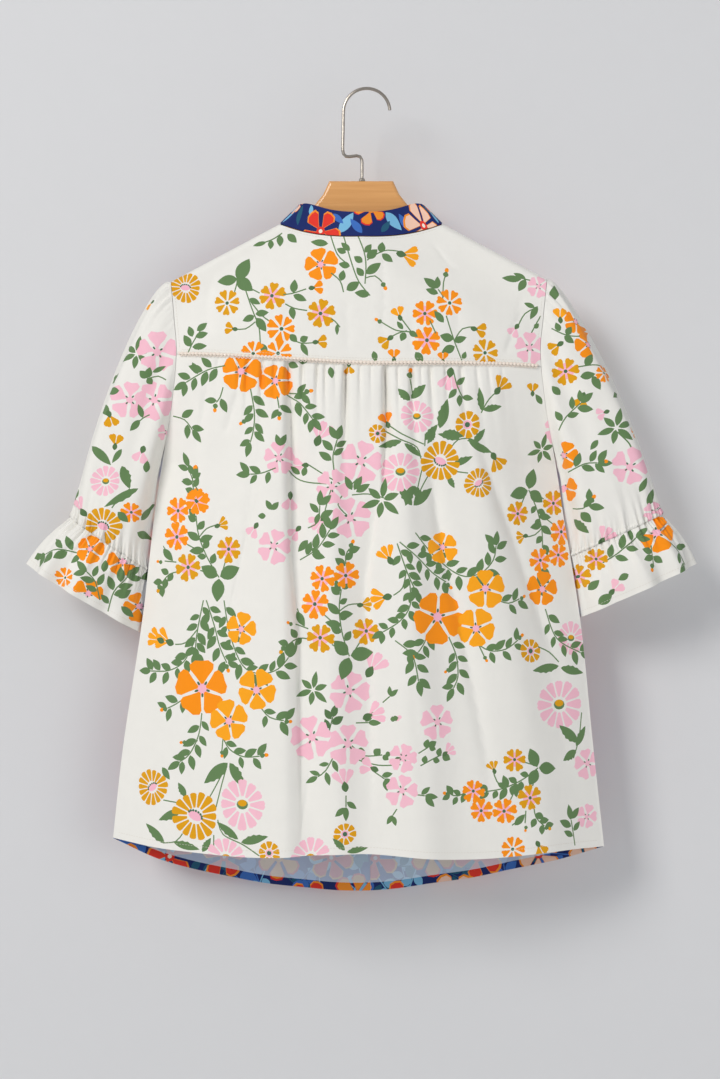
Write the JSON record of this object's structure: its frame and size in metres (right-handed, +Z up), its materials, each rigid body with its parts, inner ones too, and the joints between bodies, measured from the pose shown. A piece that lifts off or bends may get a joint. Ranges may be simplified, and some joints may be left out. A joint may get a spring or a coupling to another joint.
{
  "type": "blouse on a hanger",
  "caption": "Short-sleeved blouse with stand collar, gathered back under a yoke and puff sleeves with flared cuffs, hanging from a wooden hanger with a wire hook.",
  "frame": {"origin": "inside of the hook's bend, where a rail carries the hanger", "axes": "+Z up, the back of the blouse faces -Y, its front faces +Y"},
  "size_m": [0.7056, 0.1197, 0.8514],
  "materials": {
    "flowered_cream": "plain-woven cotton with a flower print on cream",
    "flowered_blue": "plain-woven cotton with a flower print on blue",
    "braid": "cotton picot braid",
    "wood": "satin lacquered wood",
    "wire": "satin nickel"
  },
  "bodies": {
    "root": {"back_yoke": "flowered_cream", "back_body": "flowered_cream", "sleeve_left": "flowered_cream", "sleeve_right": "flowered_cream", "cuff_left": "flowered_cream", "cuff_right": "flowered_cream", "front_left": "flowered_blue", "front_right": "flowered_blue", "collar_band": "flowered_blue", "yoke_trim": "braid", "hanger_board": "wood", "hanger_hook": "wire", "hook_ferrule": "wire"}
  },
  "joints": []
}
